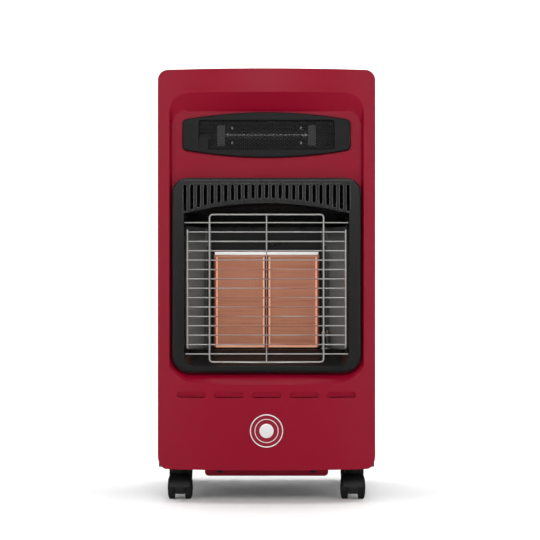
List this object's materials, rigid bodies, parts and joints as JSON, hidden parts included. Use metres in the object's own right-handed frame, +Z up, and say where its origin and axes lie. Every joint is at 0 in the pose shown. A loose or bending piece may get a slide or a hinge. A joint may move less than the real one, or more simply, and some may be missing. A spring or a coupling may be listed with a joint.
{
  "type": "portable gas cabinet heater",
  "caption": "Upright cabinet heater on castors: gas radiant burner behind a wire guard, quartz element in an upper window, bottle space behind a lift-off back.",
  "frame": {"origin": "on the floor under the middle of the cabinet", "axes": "+Z up, the front with the burner faces -Y, +X to the right as seen from the front"},
  "size_m": [0.37, 0.42, 0.7355],
  "materials": {
    "red_paint": "semi-gloss powder coat",
    "black_paint": "satin powder coat",
    "black_plastic": "moulded satin",
    "dark_enamel": "heat-proof enamel",
    "grey_steel": "rolled sheet",
    "bright_steel": "bright plated",
    "brass": "machined",
    "copper": "drawn tube",
    "plaque_ceramic": "porous, matt",
    "white_ceramic": "unglazed",
    "quartz": "clear tube, grey coil inside",
    "red_plastic": "moulded gloss"
  },
  "bodies": {
    "cabinet": {"front_panel": "red_paint", "badge": "bright_steel", "front_surround": "black_plastic", "wire_guard": "bright_steel", "window_bezel": "black_plastic", "window_mesh": "dark_enamel", "left_plaque": "plaque_ceramic", "right_plaque": "plaque_ceramic", "burner_chamber": "grey_steel", "burner_frame": "bright_steel", "top_strip": "bright_steel", "left_reflector": "grey_steel", "right_reflector": "grey_steel", "fire_hood": "dark_enamel", "fire_shelf": "grey_steel", "venturi_tube": "grey_steel", "injector": "brass", "gas_valve": "brass", "gas_inlet": "brass", "gas_pipe": "copper", "pilot_pipe": "copper", "pilot_burner": "grey_steel", "thermocouple": "copper", "spark_electrode": "white_ceramic", "element_trough": "grey_steel", "quartz_tube": "quartz", "left_tube_holder": "white_ceramic", "right_tube_holder": "white_ceramic", "left_side_panel": "black_paint", "right_side_panel": "black_paint", "base_tray": "black_paint", "partition": "grey_steel", "top_cover": "black_plastic", "igniter_body": "black_plastic", "right_switch_body": "black_plastic", "left_switch_body": "black_plastic", "mains_inlet": "black_plastic"},
    "rear_cover": {"rear_cover": "black_paint"},
    "valve_collar": {"return_collar": "grey_steel"},
    "knob": {"control_knob": "black_plastic", "valve_spindle": "brass"},
    "igniter_button": {"igniter_button": "red_plastic"},
    "right_rocker": {"right_rocker": "red_plastic"},
    "left_rocker": {"left_rocker": "red_plastic"},
    "castor_front_left": {"castor_front_left": "black_plastic", "axle_front_left": "grey_steel"},
    "wheel_front_left_outer": {"wheel_front_left_outer": "black_plastic"},
    "wheel_front_left_inner": {"wheel_front_left_inner": "black_plastic"},
    "castor_front_right": {"castor_front_right": "black_plastic", "axle_front_right": "grey_steel"},
    "wheel_front_right_outer": {"wheel_front_right_outer": "black_plastic"},
    "wheel_front_right_inner": {"wheel_front_right_inner": "black_plastic"},
    "castor_back_left": {"castor_back_left": "black_plastic", "axle_back_left": "grey_steel"},
    "wheel_back_left_outer": {"wheel_back_left_outer": "black_plastic"},
    "wheel_back_left_inner": {"wheel_back_left_inner": "black_plastic"},
    "castor_back_right": {"castor_back_right": "black_plastic", "axle_back_right": "grey_steel"},
    "wheel_back_right_outer": {"wheel_back_right_outer": "black_plastic"},
    "wheel_back_right_inner": {"wheel_back_right_inner": "black_plastic"}
  },
  "joints": [
    {"name": "rear_cover_pull", "type": "slide", "parent": "cabinet", "child": "rear_cover", "axis": [0, 1, 0], "range_m": [0, 0.12]},
    {"name": "knob_push", "type": "slide", "parent": "cabinet", "child": "valve_collar", "axis": [0, 0, -1], "range_m": [0, 0.003], "stiffness_N_per_m": 1500, "springref_m": -0.002},
    {"name": "knob_turn", "type": "hinge", "parent": "valve_collar", "child": "knob", "pos_m": [0.128, 0.137, 0.712], "axis": [0, 0, 1], "range_deg": [0, 210]},
    {"name": "igniter_push", "type": "slide", "parent": "cabinet", "child": "igniter_button", "axis": [0, 0, -1], "range_m": [0, 0.0045], "stiffness_N_per_m": 800, "springref_m": -0.002},
    {"name": "right_switch_tilt", "type": "hinge", "parent": "cabinet", "child": "right_rocker", "pos_m": [0.02, 0.137, 0.7128], "axis": [1, 0, 0], "range_deg": [0, 16]},
    {"name": "left_switch_tilt", "type": "hinge", "parent": "cabinet", "child": "left_rocker", "pos_m": [-0.03, 0.137, 0.7128], "axis": [1, 0, 0], "range_deg": [0, 16]},
    {"name": "swivel_front_left", "type": "hinge", "parent": "cabinet", "child": "castor_front_left", "pos_m": [-0.1492, -0.11, 0.057], "axis": [0, 0, 1], "continuous": true},
    {"name": "roll_front_left_outer", "type": "hinge", "parent": "castor_front_left", "child": "wheel_front_left_outer", "pos_m": [-0.1492, -0.122, 0.02], "axis": [1, 0, 0], "continuous": true},
    {"name": "roll_front_left_inner", "type": "hinge", "parent": "castor_front_left", "child": "wheel_front_left_inner", "pos_m": [-0.1492, -0.122, 0.02], "axis": [1, 0, 0], "continuous": true},
    {"name": "swivel_front_right", "type": "hinge", "parent": "cabinet", "child": "castor_front_right", "pos_m": [0.1492, -0.11, 0.057], "axis": [0, 0, 1], "continuous": true},
    {"name": "roll_front_right_outer", "type": "hinge", "parent": "castor_front_right", "child": "wheel_front_right_outer", "pos_m": [0.1492, -0.122, 0.02], "axis": [1, 0, 0], "continuous": true},
    {"name": "roll_front_right_inner", "type": "hinge", "parent": "castor_front_right", "child": "wheel_front_right_inner", "pos_m": [0.1492, -0.122, 0.02], "axis": [1, 0, 0], "continuous": true},
    {"name": "swivel_back_left", "type": "hinge", "parent": "cabinet", "child": "castor_back_left", "pos_m": [-0.1605, 0.164, 0.057], "axis": [0, 0, 1], "continuous": true},
    {"name": "roll_back_left_outer", "type": "hinge", "parent": "castor_back_left", "child": "wheel_back_left_outer", "pos_m": [-0.1605, 0.152, 0.02], "axis": [1, 0, 0], "continuous": true},
    {"name": "roll_back_left_inner", "type": "hinge", "parent": "castor_back_left", "child": "wheel_back_left_inner", "pos_m": [-0.1605, 0.152, 0.02], "axis": [1, 0, 0], "continuous": true},
    {"name": "swivel_back_right", "type": "hinge", "parent": "cabinet", "child": "castor_back_right", "pos_m": [0.1605, 0.164, 0.057], "axis": [0, 0, 1], "continuous": true},
    {"name": "roll_back_right_outer", "type": "hinge", "parent": "castor_back_right", "child": "wheel_back_right_outer", "pos_m": [0.1605, 0.152, 0.02], "axis": [1, 0, 0], "continuous": true},
    {"name": "roll_back_right_inner", "type": "hinge", "parent": "castor_back_right", "child": "wheel_back_right_inner", "pos_m": [0.1605, 0.152, 0.02], "axis": [1, 0, 0], "continuous": true}
  ]
}
